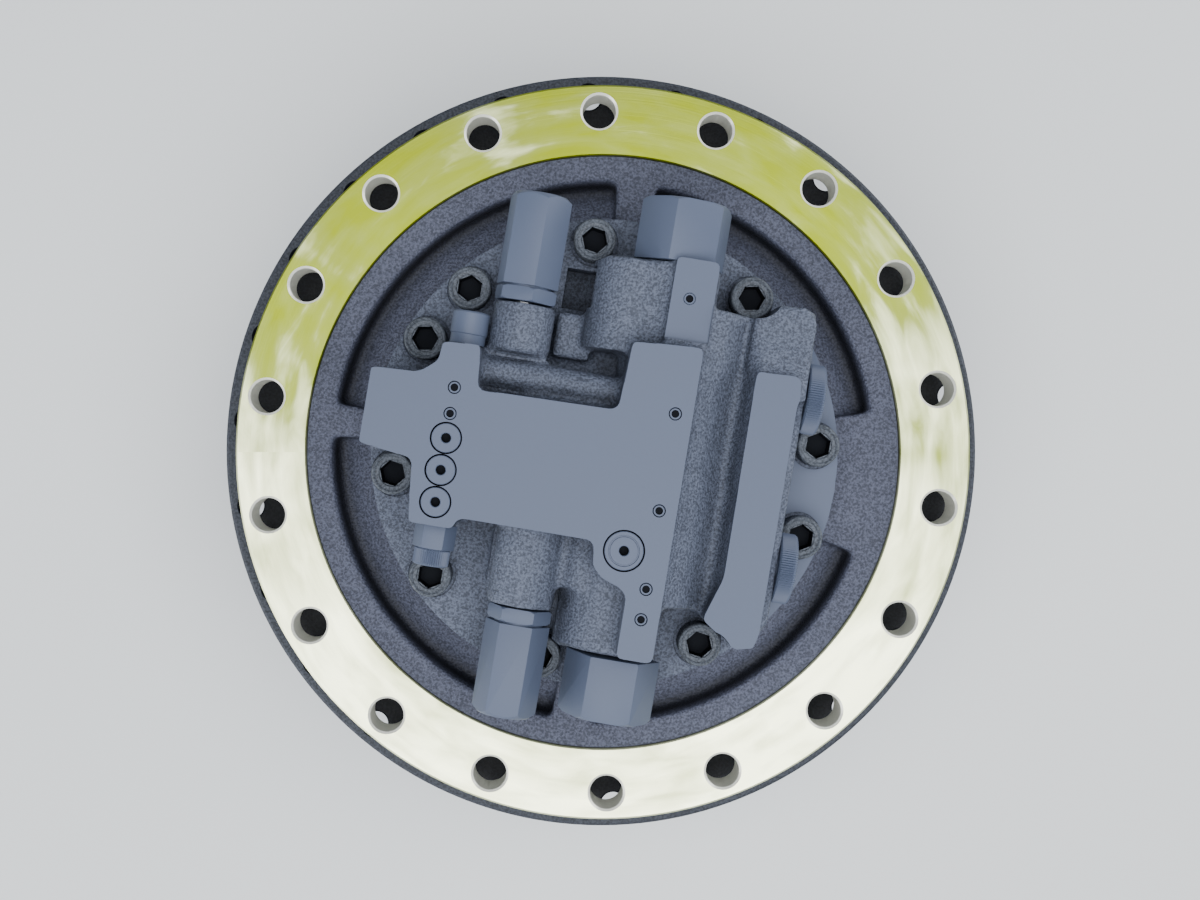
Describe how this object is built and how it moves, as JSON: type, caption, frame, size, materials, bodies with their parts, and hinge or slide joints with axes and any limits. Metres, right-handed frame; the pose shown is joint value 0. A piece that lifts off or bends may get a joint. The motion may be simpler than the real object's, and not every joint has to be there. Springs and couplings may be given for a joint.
{
  "type": "excavator final drive",
  "caption": "Excavator final drive: hydraulic travel motor with valve block, two-stage planetary gearbox and sprocket hub, standing on its end cover.",
  "frame": {"origin": "centre of the end cover's flat face, on the drive's axis", "axes": "+Z along the drive's axis from the end cover to the motor side; +X points to the picture's right and +Y to its top"},
  "size_m": [0.513, 0.513, 0.419],
  "materials": {
    "grey_paint": "semi-gloss blue-grey paint on cast iron",
    "machined_steel": "turned and ground steel",
    "gear_steel": "hardened and ground",
    "bearing_steel": "ground and polished",
    "spring_steel": "dark spring steel",
    "bronze": "sliding-bearing bronze",
    "black_rubber": "matte nitrile rubber",
    "raw_casting": "as cast, machined seats"
  },
  "bodies": {
    "frame": {"motor_housing": "grey_paint", "rear_cover": "grey_paint", "upper_bearing_inner_ring": "bearing_steel", "lower_bearing_inner_ring": "bearing_steel", "bearing_nut": "machined_steel", "fixed_seal_ring": "machined_steel", "fixed_seal_rubber": "black_rubber", "second_carrier": "raw_casting", "swash_plate": "machined_steel", "valve_plate": "bronze", "upper_shaft_bearing": "bearing_steel", "lower_shaft_bearing": "bearing_steel", "shaft_seal": "black_rubber", "brake_steel_plate": "machined_steel", "brake_disc_spring": "spring_steel", "upper_counterbalance_plug": "grey_paint", "lower_counterbalance_plug": "grey_paint", "upper_counterbalance_spring": "spring_steel", "lower_counterbalance_spring": "spring_steel", "upper_relief_cap": "grey_paint", "lower_relief_cap": "grey_paint", "upper_relief_spring": "spring_steel", "lower_relief_spring": "spring_steel", "two_speed_spring": "spring_steel", "upper_two_speed_plug": "grey_paint", "lower_two_speed_plug": "grey_paint", "face_plug_1": "grey_paint", "face_plug_2": "grey_paint", "face_plug_3": "grey_paint", "face_plug_4": "grey_paint", "upper_port_cap": "grey_paint", "lower_port_cap": "grey_paint"},
    "hub_body": {"hub": "grey_paint", "end_cover": "grey_paint", "fill_plug": "machined_steel", "drain_plug": "machined_steel", "upper_bearing_outer_ring": "bearing_steel", "lower_bearing_outer_ring": "bearing_steel", "turning_seal_ring": "machined_steel", "turning_seal_rubber": "black_rubber"},
    "upper_roller_cage": {"upper_bearing_rollers": "bearing_steel"},
    "lower_roller_cage": {"lower_bearing_rollers": "bearing_steel"},
    "first_carrier_body": {"first_carrier": "gear_steel", "second_sun": "gear_steel"},
    "shaft_body": {"drive_shaft": "machined_steel", "cylinder_block": "bronze", "slipper_shoes": "bronze", "brake_friction_disc": "bronze", "first_sun": "gear_steel"},
    "counterbalance_spool_body": {"counterbalance_spool": "machined_steel"},
    "upper_relief_body": {"upper_relief_poppet": "gear_steel"},
    "lower_relief_body": {"lower_relief_poppet": "gear_steel"},
    "two_speed_spool_body": {"two_speed_spool": "machined_steel"},
    "brake_piston_body": {"brake_piston": "machined_steel"},
    "first_planet_1_body": {"first_planet_1": "gear_steel"},
    "first_planet_2_body": {"first_planet_2": "gear_steel"},
    "first_planet_3_body": {"first_planet_3": "gear_steel"},
    "second_planet_1_body": {"second_planet_1": "gear_steel"},
    "second_planet_2_body": {"second_planet_2": "gear_steel"},
    "second_planet_3_body": {"second_planet_3": "gear_steel"}
  },
  "joints": [
    {"name": "hub_spin", "type": "hinge", "parent": "frame", "child": "hub_body", "pos_m": [0, 0, 0], "axis": [0, 0, 1], "continuous": true},
    {"name": "upper_rollers_orbit", "type": "hinge", "parent": "frame", "child": "upper_roller_cage", "pos_m": [0, 0, 0], "axis": [0, 0, 1], "continuous": true},
    {"name": "lower_rollers_orbit", "type": "hinge", "parent": "frame", "child": "lower_roller_cage", "pos_m": [0, 0, 0], "axis": [0, 0, 1], "continuous": true},
    {"name": "first_carrier_spin", "type": "hinge", "parent": "frame", "child": "first_carrier_body", "pos_m": [0, 0, 0], "axis": [0, 0, 1], "continuous": true},
    {"name": "shaft_spin", "type": "hinge", "parent": "frame", "child": "shaft_body", "pos_m": [0, 0, 0], "axis": [0, 0, 1], "continuous": true},
    {"name": "first_planet_1_spin", "type": "hinge", "parent": "first_carrier_body", "child": "first_planet_1_body", "pos_m": [0, 0.09, 0], "axis": [0, 0, 1], "continuous": true},
    {"name": "first_planet_2_spin", "type": "hinge", "parent": "first_carrier_body", "child": "first_planet_2_body", "pos_m": [-0.07794, -0.045, 0], "axis": [0, 0, 1], "continuous": true},
    {"name": "first_planet_3_spin", "type": "hinge", "parent": "first_carrier_body", "child": "first_planet_3_body", "pos_m": [0.07794, -0.045, 0], "axis": [0, 0, 1], "continuous": true},
    {"name": "second_planet_1_spin", "type": "hinge", "parent": "frame", "child": "second_planet_1_body", "pos_m": [0.08444, 0.04875, 0], "axis": [0, 0, 1], "continuous": true},
    {"name": "second_planet_2_spin", "type": "hinge", "parent": "frame", "child": "second_planet_2_body", "pos_m": [-0.08444, 0.04875, 0], "axis": [0, 0, 1], "continuous": true},
    {"name": "second_planet_3_spin", "type": "hinge", "parent": "frame", "child": "second_planet_3_body", "pos_m": [0, -0.0975, 0], "axis": [0, 0, 1], "continuous": true},
    {"name": "counterbalance_slide", "type": "slide", "parent": "frame", "child": "counterbalance_spool_body", "axis": [0.165, 0.9863, 0], "range_m": [-0.008, 0.008], "stiffness_N_per_m": 4000, "deforming": ["upper_counterbalance_spring", "lower_counterbalance_spring"]},
    {"name": "upper_relief_slide", "type": "slide", "parent": "frame", "child": "upper_relief_body", "axis": [0.165, 0.9863, 0], "range_m": [0, 0.003], "stiffness_N_per_m": 5000, "springref_m": -0.002, "deforming": ["upper_relief_spring"]},
    {"name": "lower_relief_slide", "type": "slide", "parent": "frame", "child": "lower_relief_body", "axis": [-0.165, -0.9863, 0], "range_m": [0, 0.003], "stiffness_N_per_m": 5000, "springref_m": -0.002, "deforming": ["lower_relief_spring"]},
    {"name": "two_speed_slide", "type": "slide", "parent": "frame", "child": "two_speed_spool_body", "axis": [-0.165, -0.9863, 0], "range_m": [0, 0.005], "stiffness_N_per_m": 2000, "springref_m": -0.003, "deforming": ["two_speed_spring"]},
    {"name": "brake_release", "type": "slide", "parent": "frame", "child": "brake_piston_body", "axis": [0, 0, 1], "range_m": [0, 0.002], "stiffness_N_per_m": 50000, "springref_m": -0.002, "deforming": ["brake_disc_spring"]}
  ],
  "couplings": [
    {"joint": "upper_rollers_orbit", "follows": "hub_spin", "ratio": 0.52431},
    {"joint": "lower_rollers_orbit", "follows": "hub_spin", "ratio": 0.52431},
    {"joint": "first_carrier_spin", "follows": "hub_spin", "ratio": -3.875},
    {"joint": "shaft_spin", "follows": "hub_spin", "ratio": -34.1},
    {"joint": "first_planet_1_spin", "follows": "hub_spin", "ratio": 11.625},
    {"joint": "first_planet_2_spin", "follows": "hub_spin", "ratio": 11.625},
    {"joint": "first_planet_3_spin", "follows": "hub_spin", "ratio": 11.625},
    {"joint": "second_planet_1_spin", "follows": "hub_spin", "ratio": 2.6957},
    {"joint": "second_planet_2_spin", "follows": "hub_spin", "ratio": 2.6957},
    {"joint": "second_planet_3_spin", "follows": "hub_spin", "ratio": 2.6957}
  ]
}
